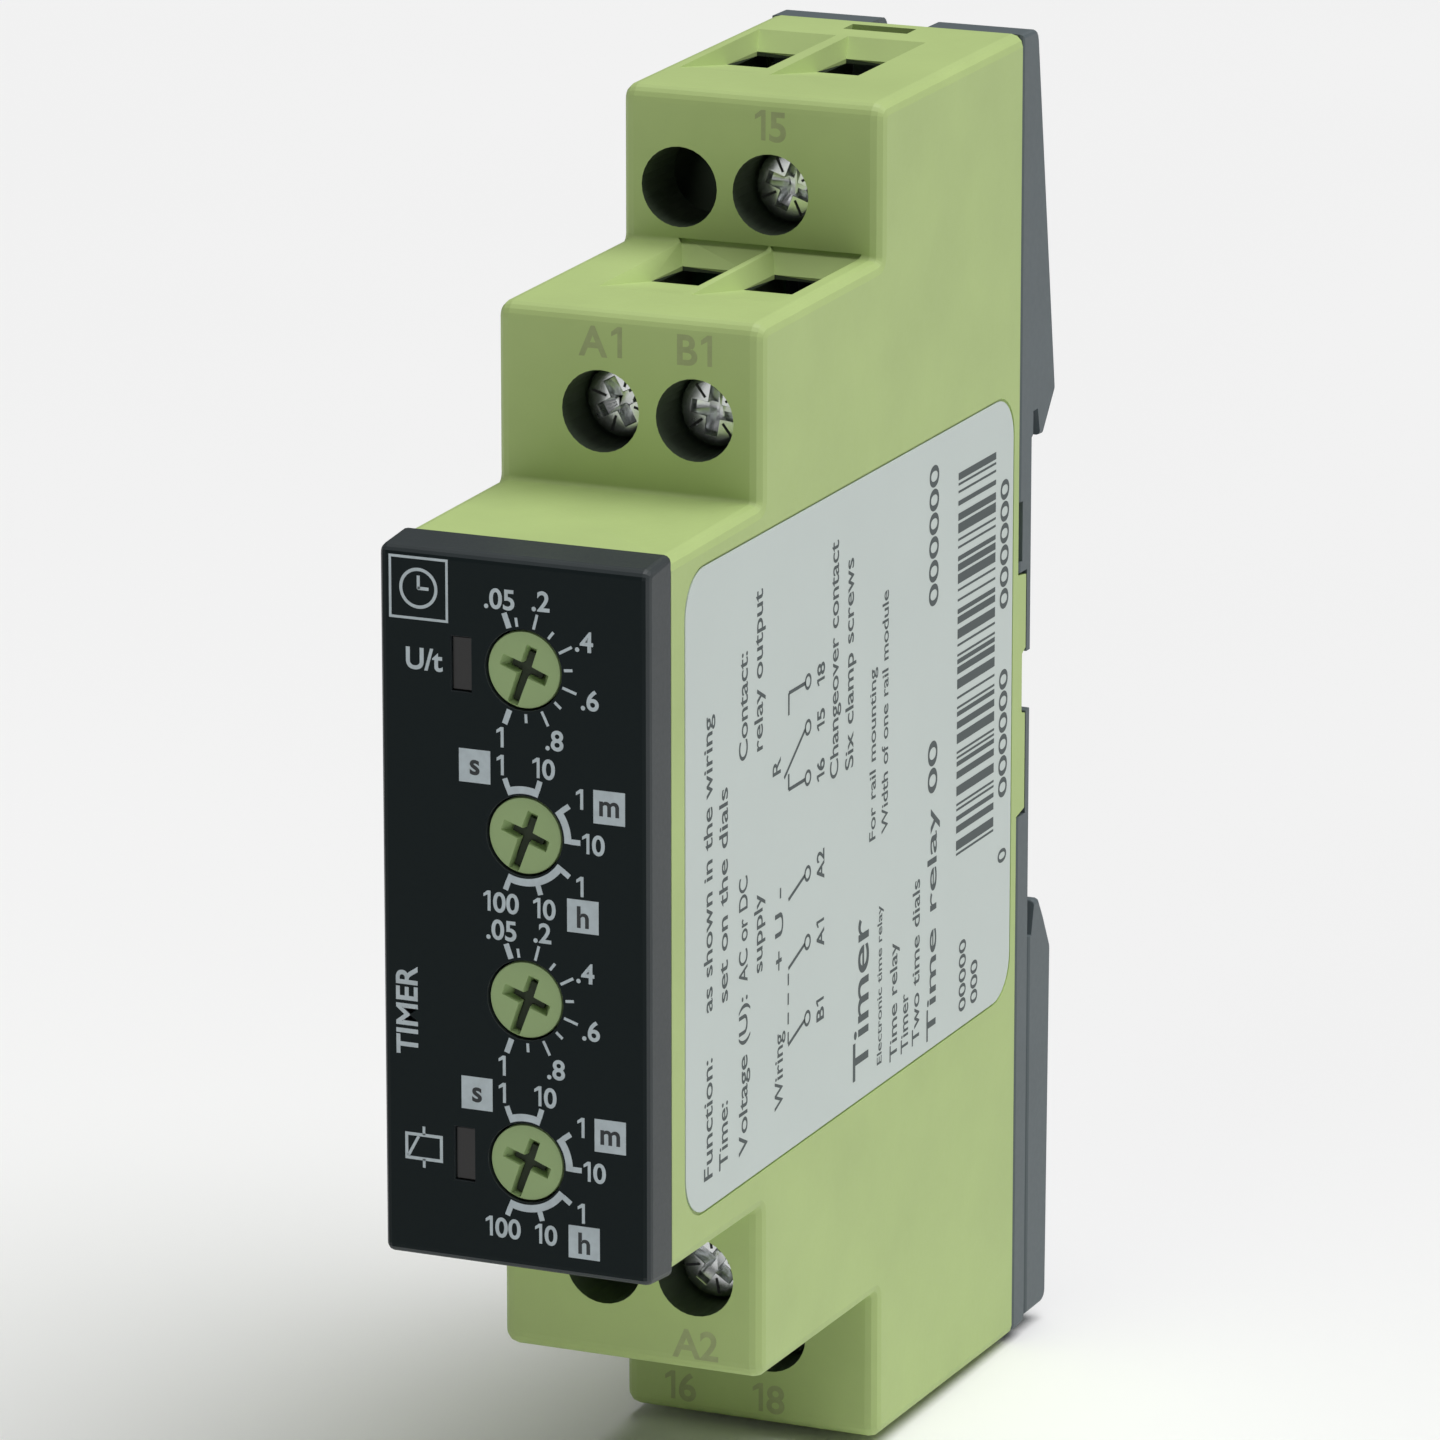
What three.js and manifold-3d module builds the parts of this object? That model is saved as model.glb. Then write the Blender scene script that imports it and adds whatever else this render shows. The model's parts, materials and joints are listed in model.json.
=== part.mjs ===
// Timer with two time settings for a 35 mm DIN rail, 17.5 mm wide, as an assembly of separate pieces.
// Millimetres. X points to the right, Y from the front face towards the rail, Z up.
// The pieces are drawn from the middle of the front face. At the end the whole group is moved,
// so that the origin is the centre of the rail, on the plane where the rail's front face rests.

import * as THREE from 'three';
import { mergeVertices } from 'three/addons/utils/BufferGeometryUtils.js';
import Module from 'manifold-3d';

const wasm = await Module();
wasm.setup();

// Driving dimensions of the case
const WIDTH = 17.5;
const HALF_WIDTH = WIDTH / 2;
const WALL = 1.3;
const GAP = 0.15;
const DRAFT = 0.015;
const EDGE_RADIUS = 0.8;
const CORNER_RADIUS = 1.0;
const NOSE_FRONT = 3.25;
const NOSE_TOP = 22.3;
const REAR_PLANE = 58.6;
const SEAT_PLANE = 61.0;
const RAIL_CENTRE_Z = 0.8;
const BEYOND = 5;
const OVERLAP = 0.2;

// The two rows of terminals above the nose are repeated below it.
// front: front plane; screwZ: height of the screw axis; top: outer face at the front plane;
// holes: x of the two screwdriver holes; mouth: half width of the wire funnel; roof: pocket's outer end;
// floor: pocket's inner end, inside the electronics space
const MIDDLE_ROW = {
  front: 16.7, screwZ: 27.1, top: 33.3, holes: [-1.85, 4.35], mouth: 2.8, roof: 32.1, floor: 20.5,
};
const OUTER_ROW = {
  front: 35.3, screwZ: 37.1, top: 43.3, holes: [-4.85, 1.3], mouth: 2.6, roof: 42.1, floor: 31.5,
};
const ROWS = [MIDDLE_ROW, OUTER_ROW];
const SIDES = [1, -1];

// Terminals that are fitted. side: 1 above the nose, -1 below; solderZ: height of the board joint
const TERMINALS = [
  { name: '15', row: OUTER_ROW, side: 1, x: 1.3, solderZ: 29.6 },
  { name: 'a1', row: MIDDLE_ROW, side: 1, x: -1.85, solderZ: 18.9 },
  { name: 'b1', row: MIDDLE_ROW, side: 1, x: 4.35, solderZ: 16.8 },
  { name: 'a2', row: MIDDLE_ROW, side: -1, x: 4.35, solderZ: 18.4 },
  { name: '16', row: OUTER_ROW, side: -1, x: -4.85, solderZ: 29.6 },
  { name: '18', row: OUTER_ROW, side: -1, x: 1.3, solderZ: 27.6 },
];

// Screw terminal, measured from the front plane of its row
const BORE_RADIUS = 2.55;
const BORE_DEPTH = 5.0;
const POCKET_HALF_WIDTH = 2.75;
const POCKET_END = 20.0;
const SHAFT_HALF_WIDTH = 2.25;
const SHAFT_START = 12.6;
const SHAFT_END = 17.4;
const FUNNEL_START = 5.9;
const FUNNEL_END = 18.5;
const FUNNEL_DEPTH = 1.0;
const HEAD_START = 2.9;
const HEAD_LENGTH = 1.8;
const HEAD_RADIUS = 2.3;
const SLOT_HALF_WIDTH = 0.45;
const SLOT_REACH = 1.5;
const SLOT_DEPTH = 1.0;
const THREAD_RADIUS = 1.45;
const THREAD_CLEARANCE = 0.15;
const SCREW_TIP = 11.6;
const CAGE_START = 8.3;
const CAGE_NUT = 1.8;
const CAGE_END = 18.3;
const CAGE_REAR = 0.8;
const CAGE_HALF_WIDTH = 2.6;
const CAGE_HALF_HEIGHT = 2.1;
const CAGE_SIDE = 0.7;
const BAR_START = 11.7;
const BAR_THICKNESS = 0.8;
const BAR_HALF_WIDTH = 1.1;

// Front cover and dials
const COVER_TOP = 22.0;
const COVER_DEPTH = 3.2;
const COVER_PLATE = 1.8;
const DIAL_X = 0.65;
const DIAL_PITCH = 10.16;
const DIAL_COUNT = 4;
const KNOB_RADIUS = 2.36;
const KNOB_HOLE_RADIUS = 2.5;
const KNOB_FACE = 0.12;
const KNOB_THICKNESS = 1.6;
const KNOB_SLOT_DEPTH = 0.9;
const KNOB_CENTRE_RADIUS = 0.5;
const KNOB_STEM_RADIUS = 1.3;
const KNOB_STEM_END = 3.1;
// Arms of a knob's cross slot: half width at the root and at the tip, and reach from the centre
const POINTER_ARM = { root: 0.42, tip: 0.3, reach: KNOB_RADIUS - 0.12 };
const SHORT_ARM = { root: 0.5, tip: 0.36, reach: 1.45 };
const POINTER_ANGLE = 200;
const TRIMMER_HALF = 3.2;
const TRIMMER_FACE = 3.35;
const TRIMMER_BORE_RADIUS = 1.75;
const TRIMMER_BORE_END = 4.1;
const WINDOW_X = -3.4;
const WINDOW_Z = 15.2;
const WINDOW_WIDTH = 1.35;
const WINDOW_HEIGHT = 3.4;
const FRONT_BOARD_Y = 6.6;
const BOARD_THICKNESS = 1.2;
const MAIN_BOARD_X = -7.3;
const BOARD_FACE_X = MAIN_BOARD_X + BOARD_THICKNESS;

// Side label
const LABEL = { front: 5.3, rear: 57.6, bottom: -19.6, top: 20.5, radius: 2.8, thickness: 0.1 };

// Rail foot
const FOOT_FACE = SEAT_PLANE + GAP;
const FOOT_BOTTOM = -43.0;
const RIB_TOP = -24.0;
const RIB_BOTTOM = -38.5;
const SLOT_TOP = -17.8;
const POCKET_INNER_X = 4.6;
const POCKET_OUTER_X = 7.2;
const POCKET_FLOOR = 62.6;
const FOOT_POCKETS = [[-39.0, -30.6], [-29.4, -21.0]];
const SPRING_TURNS = 5;
const SPRING_RADIUS = 1.15;
const SPRING_WIRE = 0.2;

// Relay
const RELAY = { y0: 41.6, y1: 51.8, z0: -14.2, z1: 14.3, x0: BOARD_FACE_X + GAP, x1: 5.65 };

const GREEN = { color: 0xa9c36f, roughness: 0.55, metalness: 0 };
const LIME = { color: 0x9fbc72, roughness: 0.5, metalness: 0 };
const BLACK = { color: 0x1c2327, roughness: 0.5, metalness: 0 };
const GREY = { color: 0x59636a, roughness: 0.6, metalness: 0 };
const LABEL_WHITE = { color: 0xd4dbd7, roughness: 0.45, metalness: 0 };
const SMOKED = { color: 0x14181a, roughness: 0.2, metalness: 0 };
const ZINC = { color: 0xb4b8b8, roughness: 0.35, metalness: 1 };
const STEEL = { color: 0x8f9496, roughness: 0.4, metalness: 1 };
const COPPER = { color: 0xb87a4b, roughness: 0.35, metalness: 1 };
const TIN = { color: 0xc3c7c6, roughness: 0.35, metalness: 1 };
const BOARD = { color: 0x24563a, roughness: 0.5, metalness: 0 };
const DARK_PART = { color: 0x26282a, roughness: 0.6, metalness: 0 };
const BLUE_PART = { color: 0x2e5c93, roughness: 0.45, metalness: 0 };
const CREAM_PART = { color: 0xd9d4c3, roughness: 0.6, metalness: 0 };
const ALUMINIUM = { color: 0xb9bcbd, roughness: 0.35, metalness: 1 };
const LENS_GREEN = { color: 0x6ccf7c, roughness: 0.25, metalness: 0 };
const LENS_YELLOW = { color: 0xe6c64a, roughness: 0.25, metalness: 0 };

// ---- solids

function toSolid(geometry) {
  const bare = geometry.clone();
  bare.deleteAttribute('normal');
  bare.deleteAttribute('uv');
  const merged = mergeVertices(bare, 1e-4);
  const vertProperties = new Float32Array(merged.attributes.position.array);
  const triVerts = new Uint32Array(merged.index.array);
  return new wasm.Manifold(new wasm.Mesh({ numProp: 3, vertProperties, triVerts }));
}

function toGeometry(solid) {
  const mesh = solid.getMesh();
  const geometry = new THREE.BufferGeometry();
  geometry.setAttribute('position', new THREE.BufferAttribute(mesh.vertProperties, 3));
  geometry.setIndex(new THREE.BufferAttribute(mesh.triVerts, 1));
  geometry.computeVertexNormals();
  return geometry;
}

function join(solids) {
  return solids.reduce((whole, solid) => whole.add(solid));
}

function cut(solid, tools) {
  return tools.reduce((rest, tool) => rest.subtract(tool), solid);
}

function box(x0, x1, y0, y1, z0, z1) {
  const geometry = new THREE.BoxGeometry(Math.abs(x1 - x0), Math.abs(y1 - y0), Math.abs(z1 - z0));
  geometry.translate((x0 + x1) / 2, (y0 + y1) / 2, (z0 + z1) / 2);
  return toSolid(geometry);
}

function cylinderY(x, z, radius, y0, y1, segments = 24, endRadius = radius) {
  const geometry = new THREE.CylinderGeometry(endRadius, radius, y1 - y0, segments);
  geometry.translate(x, (y0 + y1) / 2, z);
  return toSolid(geometry);
}

function cylinderX(y, z, radius, x0, x1, segments = 20, endRadius = radius) {
  const geometry = new THREE.CylinderGeometry(endRadius, radius, x1 - x0, segments);
  geometry.rotateZ(-Math.PI / 2);
  geometry.translate((x0 + x1) / 2, y, z);
  return toSolid(geometry);
}

// Points of a closed outline. Each corner is [u, v] or [u, v, radius].
function roundedOutline(corners, steps = 5) {
  const points = [];
  corners.forEach(([u, v, radius = 0], index) => {
    const corner = new THREE.Vector2(u, v);
    const before = corners[(index + corners.length - 1) % corners.length];
    const after = corners[(index + 1) % corners.length];
    const back = new THREE.Vector2(before[0] - u, before[1] - v).normalize();
    const ahead = new THREE.Vector2(after[0] - u, after[1] - v).normalize();
    if (radius === 0) {
      points.push(corner);
      return;
    }
    const halfAngle = Math.acos(THREE.MathUtils.clamp(back.dot(ahead), -1, 1)) / 2;
    const reach = radius / Math.sin(halfAngle);
    const centre = back.clone().add(ahead).normalize().multiplyScalar(reach).add(corner);
    const start = back.clone().multiplyScalar(radius / Math.tan(halfAngle)).add(corner).sub(centre);
    const turn = Math.PI - 2 * halfAngle;
    const sense = Math.sign(-back.cross(ahead));
    for (let step = 0; step <= steps; step += 1) {
      const angle = (sense * turn * step) / steps;
      points.push(start.clone().rotateAround(new THREE.Vector2(0, 0), angle).add(centre));
    }
  });
  return points;
}

// Prism along X. The outline is [y, z] points, anticlockwise. A bevel rounds its two end faces.
function prismX(points, x0, x1, bevel = 0, bevelSegments = 3) {
  const settings = { depth: x1 - x0 - 2 * bevel, bevelEnabled: bevel > 0 };
  if (bevel > 0) {
    Object.assign(settings, {
      bevelThickness: bevel, bevelSize: bevel, bevelOffset: -bevel, bevelSegments,
    });
  }
  const geometry = new THREE.ExtrudeGeometry(new THREE.Shape(points), settings);
  const toRow = new THREE.Matrix4().makeBasis(
    new THREE.Vector3(0, 1, 0), new THREE.Vector3(0, 0, 1), new THREE.Vector3(1, 0, 0),
  );
  geometry.applyMatrix4(toRow);
  geometry.translate(x0 + bevel, 0, 0);
  return toSolid(geometry);
}

// Prism along Y. The outline is [x, z] points, anticlockwise seen from the front.
function prismY(points, y0, y1) {
  const shape = new THREE.Shape(points);
  const geometry = new THREE.ExtrudeGeometry(shape, { depth: y1 - y0, bevelEnabled: false });
  geometry.rotateX(Math.PI / 2);
  geometry.translate(0, y1, 0);
  return toSolid(geometry);
}

// Four-sided solid between two rectangles in planes of constant Z: wide at zWide, narrow at zNarrow
function taperedBox(wide, narrow, zWide, zNarrow) {
  const geometry = new THREE.BoxGeometry(1, 1, 1);
  const position = geometry.attributes.position;
  for (let i = 0; i < position.count; i += 1) {
    const rectangle = position.getZ(i) > 0 ? wide : narrow;
    const x = position.getX(i) > 0 ? rectangle.x1 : rectangle.x0;
    const y = position.getY(i) > 0 ? rectangle.y1 : rectangle.y0;
    position.setXYZ(i, x, y, position.getZ(i) > 0 ? zWide : zNarrow);
  }
  return geometry;
}

function rectangleOutline(x0, x1, z0, z1, radius, steps = 5) {
  return roundedOutline([[x0, z0, radius], [x1, z0, radius], [x1, z1, radius], [x0, z1, radius]], steps);
}

// ---- case

// Side outline of the case, longer at both ends than the case is
function caseOutline() {
  const inner = 0.3;
  const rear = REAR_PLANE + BEYOND;
  const rise = (front) => DRAFT * (rear - front);
  const { front: middleFront, top: middleTop } = MIDDLE_ROW;
  const { front: outerFront, top: outerTop } = OUTER_ROW;
  const middleRear = middleTop + DRAFT * (outerFront - middleFront);
  const noseFront = NOSE_TOP - DRAFT * middleFront;
  const upper = [
    [rear, outerTop + rise(outerFront)],
    [outerFront, outerTop, CORNER_RADIUS],
    [outerFront, middleRear, inner],
    [middleFront, middleTop, CORNER_RADIUS],
    [middleFront, NOSE_TOP, inner],
    [0, noseFront],
  ];
  const lower = upper.map(([y, z, radius]) => [y, -z, radius]).reverse();
  return roundedOutline([...lower, ...upper]);
}

// What the bevelled block keeps: a flat front, and a rear edge with tabs beside the base's groove
function caseTrim() {
  const tab = 60.0;
  const groove = 59.4;
  const height = OUTER_ROW.top + BEYOND;
  return [
    [NOSE_FRONT, -height], [REAR_PLANE, -height], [REAR_PLANE, -8.0], [tab, -7.7], [tab, -1.3],
    [groove, -1.2], [groove, 2.8], [tab, 3.1], [tab, 8.0], [REAR_PLANE, 8.2], [REAR_PLANE, height],
    [NOSE_FRONT, height],
  ].map(([y, z]) => new THREE.Vector2(y, z));
}

function funnel(row, x, side) {
  const above = 0.5;
  const spread = 1 + above / FUNNEL_DEPTH;
  const shaft = {
    x0: -SHAFT_HALF_WIDTH, x1: SHAFT_HALF_WIDTH, y0: row.front + SHAFT_START, y1: row.front + SHAFT_END,
  };
  const mouth = {
    x0: -row.mouth, x1: row.mouth, y0: row.front + FUNNEL_START, y1: row.front + FUNNEL_END,
  };
  const wide = {};
  Object.keys(shaft).forEach((edge) => {
    wide[edge] = shaft[edge] + (mouth[edge] - shaft[edge]) * spread;
  });
  const top = row.top + DRAFT * FUNNEL_START;
  const geometry = taperedBox(wide, shaft, top + above, top - FUNNEL_DEPTH);
  if (side < 0) geometry.rotateY(Math.PI);
  geometry.translate(x, 0, 0);
  return toSolid(geometry);
}

// Screwdriver hole, pocket for the clamp, wire shaft and wire funnel of one terminal
function terminalCuts(row, x, side) {
  const z = (height) => side * height;
  const pocketStart = row.front + BORE_DEPTH;
  return [
    cylinderY(x, z(row.screwZ), BORE_RADIUS, row.front - 1, pocketStart + 0.5, 32),
    box(x - POCKET_HALF_WIDTH, x + POCKET_HALF_WIDTH, pocketStart, row.front + POCKET_END,
      z(row.floor), z(row.roof)),
    box(x - SHAFT_HALF_WIDTH, x + SHAFT_HALF_WIDTH, row.front + SHAFT_START, row.front + SHAFT_END,
      z(row.roof - 1), z(row.top + 1)),
    funnel(row, x, side),
  ];
}

function makeHousing() {
  const block = prismX(caseOutline(), -HALF_WIDTH, HALF_WIDTH, EDGE_RADIUS);
  const kept = block.intersect(prismX(caseTrim(), -HALF_WIDTH - 1, HALF_WIDTH + 1));
  const inside = HALF_WIDTH - WALL;
  const rear = REAR_PLANE + BEYOND;
  const cuts = [
    box(-inside, inside, 0, rear, -21, 21),
    box(-inside, inside, 36.7, rear, -32, 32),
    box(-inside, inside, 55, rear, -42.1, 42.1),
    prismX(labelOutline(GAP), HALF_WIDTH - LABEL.thickness - 0.02, HALF_WIDTH + 1),
  ];
  SIDES.forEach((side) => {
    ROWS.forEach((row) => {
      row.holes.forEach((x) => cuts.push(...terminalCuts(row, x, side)));
    });
    cuts.push(box(-2.6, 1.8, 56.1, 57.7, side * 41, side * 45));
  });
  return cut(kept, cuts);
}

// ---- base

// Side outline of the base: plate, and the wedge that ends in the hook over the rail's upper edge
function baseOutline() {
  const front = REAR_PLANE + GAP;
  return roundedOutline([
    [front, -43.3], [SEAT_PLANE, -43.3, 0.4], [SEAT_PLANE, 16.8], [62.9, 16.7, 0.4], [65.0, 19.3, 0.5],
    [61.5, 43.6, 0.9], [front, 43.6],
  ], 4);
}

// Space for the rail's upper edge, in front of the hook
function hookNotch() {
  const points = [[SEAT_PLANE, 16.0], [62.4, 16.0], [61.8, 18.6], [SEAT_PLANE, 18.6]];
  return prismX(points.map(([y, z]) => new THREE.Vector2(y, z)), -9, 9);
}

// Snap arm that reaches into the window at the top or bottom of the case
function snapArm(side) {
  const points = [
    [56.3, 40.7], [58.9, 40.7], [58.9, 41.9], [57.5, 41.9], [57.5, 42.7], [57.1, 42.7], [56.3, 41.9],
  ];
  const outline = side > 0 ? points : points.map(([y, z]) => [y, -z]).reverse();
  return prismX(outline.map(([y, z]) => new THREE.Vector2(y, z)), -2.3, 1.5);
}

// T-shaped rib that guides the foot
function guideRib() {
  return join([
    box(-1.9, 1.9, SEAT_PLANE - 0.5, 62.9, RIB_BOTTOM, RIB_TOP),
    box(-3.4, 3.4, 62.6, 63.6, RIB_BOTTOM, RIB_TOP),
  ]);
}

function makeBase() {
  const plate = prismX(baseOutline(), -HALF_WIDTH, HALF_WIDTH, 0.25, 2);
  const plugHalf = HALF_WIDTH - WALL - GAP;
  const plug = cut(box(-plugHalf, plugHalf, 55.7, REAR_PLANE + 0.5, -41.9, 41.9), [
    box(-plugHalf + 1.1, plugHalf - 1.1, 55, 57.4, -40.6, 40.6),
    box(-2.9, 2.1, 55, 58.2, 40, 42.5),
    box(-2.9, 2.1, 55, 58.2, -42.5, -40),
  ]);
  const whole = join([plate, plug, guideRib(), snapArm(1), snapArm(-1)]);
  const cuts = [
    hookNotch(),
    box(-1.8, 2.1, REAR_PLANE, 66, 42.5, 46),
    box(-1.8, 2.1, SEAT_PLANE, 66, 22, 46),
    box(-9, 9, 59.4, 62, -1.2, 2.8),
  ];
  SIDES.forEach((side) => {
    cuts.push(box(side * (HALF_WIDTH - WALL - 0.1), side * 9, REAR_PLANE, 60.15, -8.1, 8.3));
    cuts.push(box(side * (HALF_WIDTH - 0.7), side * 9, REAR_PLANE, 59.3, 9.0, 13.0));
  });
  [[-7.4, -3.0], [3.3, 7.4]].forEach(([x0, x1]) => {
    [[21.6, 26.2], [27.2, 31.8], [32.8, 37.4]].forEach(([z0, z1]) => {
      cuts.push(box(x0, x1, 61.4, 66, z0, z1));
    });
  });
  return cut(whole, cuts);
}

// Foot that slides down against its spring, with the jaw that holds the rail's lower edge
function makeRailFoot() {
  const profile = [
    [FOOT_FACE, FOOT_BOTTOM], [64.9, FOOT_BOTTOM, 0.8], [65.2, -18.4, 0.8], [63.9, -16.0, 0.8],
    [63.0, -14.6, 0.4], [FOOT_FACE, -14.6],
  ];
  const jawSpace = [[60, -16.8], [61.6, -16.8], [62.3, -14.0], [60, -14.0]];
  const halfWidth = HALF_WIDTH - 0.05;
  const block = prismX(roundedOutline(profile, 4), -halfWidth, halfWidth, 0.3, 2);
  const pockets = [-1, 1].flatMap((side) => FOOT_POCKETS.map(([z0, z1]) => (
    box(side * POCKET_INNER_X, side * POCKET_OUTER_X, POCKET_FLOOR, 66, z0, z1)
  )));
  return cut(block, [
    prismX(jawSpace.map(([y, z]) => new THREE.Vector2(y, z)), -9, 9),
    box(-2.05, 2.05, 60, 63.0, FOOT_BOTTOM - 1, SLOT_TOP),
    box(-3.55, 3.55, 62.45, 63.75, FOOT_BOTTOM - 1, -20.9),
    ...pockets,
    box(-2.75, 2.75, 63.2, 66, -41.9, -40.4),
  ]);
}

// Coil spring between the guide rib and the foot
function makeFootSpring() {
  const low = RIB_TOP + SPRING_WIRE + 0.05;
  const high = SLOT_TOP - SPRING_WIRE - 0.05;
  class Coil extends THREE.Curve {
    getPoint(t, target = new THREE.Vector3()) {
      const angle = 2 * Math.PI * SPRING_TURNS * t;
      const x = SPRING_RADIUS * Math.cos(angle);
      return target.set(x, 62.2 + 0.5 * SPRING_RADIUS * Math.sin(angle), low + (high - low) * t);
    }
  }
  const section = new THREE.Shape(
    [0, 1, 2, 3, 4, 5].map((k) => new THREE.Vector2(
      SPRING_WIRE * Math.cos((k * Math.PI) / 3), SPRING_WIRE * Math.sin((k * Math.PI) / 3),
    )),
  );
  const steps = SPRING_TURNS * 12;
  return new THREE.ExtrudeGeometry(section, { steps, extrudePath: new Coil(), bevelEnabled: false });
}

// ---- front cover

function dialZ(index) {
  return DIAL_PITCH * ((DIAL_COUNT - 1) / 2 - index);
}

function makeFrontCover() {
  const bevel = 0.45;
  const shell = prismX(
    roundedOutline([
      [0, -COVER_TOP, 0.6], [COVER_DEPTH + 1, -COVER_TOP - 0.4], [COVER_DEPTH + 1, COVER_TOP + 0.4],
      [0, COVER_TOP, 0.6],
    ], 4),
    -HALF_WIDTH, HALF_WIDTH, bevel,
  );
  const inside = HALF_WIDTH - WALL + 0.1;
  const cuts = [
    box(-9, 9, COVER_DEPTH, COVER_DEPTH + 3, -24, 24),
    box(-inside, inside, COVER_PLATE, COVER_DEPTH + 3, -COVER_TOP + WALL, COVER_TOP - WALL),
  ];
  for (let index = 0; index < DIAL_COUNT; index += 1) {
    cuts.push(cylinderY(DIAL_X, dialZ(index), KNOB_HOLE_RADIUS, -1, COVER_DEPTH, 32));
  }
  SIDES.forEach((side) => {
    const z = side * WINDOW_Z;
    cuts.push(box(
      WINDOW_X - WINDOW_WIDTH / 2, WINDOW_X + WINDOW_WIDTH / 2, -1, COVER_DEPTH,
      z - WINDOW_HEIGHT / 2, z + WINDOW_HEIGHT / 2,
    ));
  });
  const arms = SIDES.flatMap((side) => [
    box(-4.5, 4.5, COVER_PLATE - 0.5, 9.2, side * 19.7, side * 20.6),
    box(-4.5, 4.5, 8.4, 9.2, side * 20.4, side * 20.85),
  ]);
  return join([cut(shell, cuts), ...arms]);
}

// Dark light guide that fills one window of the cover
function makeLightGuide(side) {
  const clear = 0.06;
  const halfX = WINDOW_WIDTH / 2 - clear;
  const halfZ = WINDOW_HEIGHT / 2 - clear;
  const z = side * WINDOW_Z;
  return join([
    box(WINDOW_X - halfX, WINDOW_X + halfX, 0.2, COVER_PLATE + GAP, z - halfZ, z + halfZ),
    box(WINDOW_X - 0.7, WINDOW_X + 0.7, COVER_PLATE + 0.1, 5.2, z - 2.1, z + 2.1),
  ]);
}

// Dial knob: a disc with a cross slot, one arm of which is long and points at the scale
function makeKnob(z) {
  const face = KNOB_FACE;
  const disc = join([
    cylinderY(DIAL_X, z, KNOB_RADIUS, face, face + KNOB_THICKNESS, 32),
    cylinderY(DIAL_X, z, KNOB_STEM_RADIUS, face + KNOB_THICKNESS - OVERLAP, KNOB_STEM_END, 12),
  ]);
  const arms = [0, 90, 180, 270].map((turn) => {
    const { root, tip, reach } = turn === 0 ? POINTER_ARM : SHORT_ARM;
    const outline = [[-root, 0], [root, 0], [tip, reach], [-tip, reach]];
    const angle = -THREE.MathUtils.degToRad(POINTER_ANGLE + turn);
    const origin = new THREE.Vector2(0, 0);
    const points = outline.map(([u, v]) => new THREE.Vector2(u, v).rotateAround(origin, angle)
      .add(new THREE.Vector2(DIAL_X, z)));
    return prismY(points, -1, face + KNOB_SLOT_DEPTH);
  });
  const centre = cylinderY(DIAL_X, z, KNOB_CENTRE_RADIUS, -1, face + KNOB_SLOT_DEPTH, 12);
  return cut(disc, [...arms, centre]);
}

function makeTrimmer(z) {
  const half = TRIMMER_HALF;
  const body = box(DIAL_X - half, DIAL_X + half, TRIMMER_FACE, FRONT_BOARD_Y - GAP, z - half, z + half);
  return cut(body, [cylinderY(DIAL_X, z, TRIMMER_BORE_RADIUS, 3, TRIMMER_BORE_END, 16)]);
}

function makeFrontBoard() {
  return box(-7.2, 7.2, FRONT_BOARD_Y, FRONT_BOARD_Y + BOARD_THICKNESS, -19.4, 19.4);
}

function makeLed(side) {
  const z = side * WINDOW_Z;
  return box(WINDOW_X - 0.7, WINDOW_X + 0.7, 5.4, FRONT_BOARD_Y - GAP, z - 1.6, z + 1.6);
}

// ---- side label

function labelOutline(margin) {
  const { front, rear, bottom, top, radius } = LABEL;
  return roundedOutline([
    [front - margin, bottom - margin, radius], [rear + margin, bottom - margin, radius],
    [rear + margin, top + margin, radius], [front - margin, top + margin, radius],
  ], 8);
}

function makeLabel() {
  return prismX(labelOutline(0), HALF_WIDTH - LABEL.thickness, HALF_WIDTH);
}

// ---- screw terminals

function makeScrew({ row, side, x }) {
  const z = side * row.screwZ;
  const head = row.front + HEAD_START;
  const half = SLOT_HALF_WIDTH;
  const solid = join([
    cylinderY(x, z, HEAD_RADIUS, head, head + HEAD_LENGTH, 20),
    cylinderY(x, z, THREAD_RADIUS, head + HEAD_LENGTH - OVERLAP, row.front + SCREW_TIP, 12),
  ]);
  return cut(solid, [
    box(x - SLOT_REACH, x + SLOT_REACH, head - 1, head + SLOT_DEPTH, z - half, z + half),
    box(x - half, x + half, head - 1, head + SLOT_DEPTH, z - SLOT_REACH, z + SLOT_REACH),
  ]);
}

// Clamp: a rectangular ring round the contact bar, with the nut in its front wall
function makeCage({ row, side, x }) {
  const z = side * row.screwZ;
  const start = row.front + CAGE_START;
  const end = row.front + CAGE_END;
  const ring = box(
    x - CAGE_HALF_WIDTH, x + CAGE_HALF_WIDTH, start, end, z - CAGE_HALF_HEIGHT, z + CAGE_HALF_HEIGHT,
  );
  const innerHalf = CAGE_HALF_WIDTH - CAGE_SIDE;
  return cut(ring, [
    box(x - innerHalf, x + innerHalf, start + CAGE_NUT, end - CAGE_REAR, z - 5, z + 5),
    cylinderY(x, z, THREAD_RADIUS + THREAD_CLEARANCE, start - 1, start + CAGE_NUT + 0.5, 16),
  ]);
}

// Contact bar: a strip through the clamp, with a tail to the board
function makeContactBar({ row, side, x, solderZ }) {
  const y0 = row.front + BAR_START;
  const y1 = y0 + BAR_THICKNESS;
  const end = row.roof - 0.4;
  const strip = box(x - BAR_HALF_WIDTH, x + BAR_HALF_WIDTH, y0, y1, side * solderZ, side * end);
  const boardSide = BOARD_FACE_X + GAP;
  if (x - BAR_HALF_WIDTH - boardSide < 0.2) return strip;
  return join([strip, box(boardSide, x, y0, y1, side * solderZ, side * (solderZ + 1.6))]);
}

// ---- electronics

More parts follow.
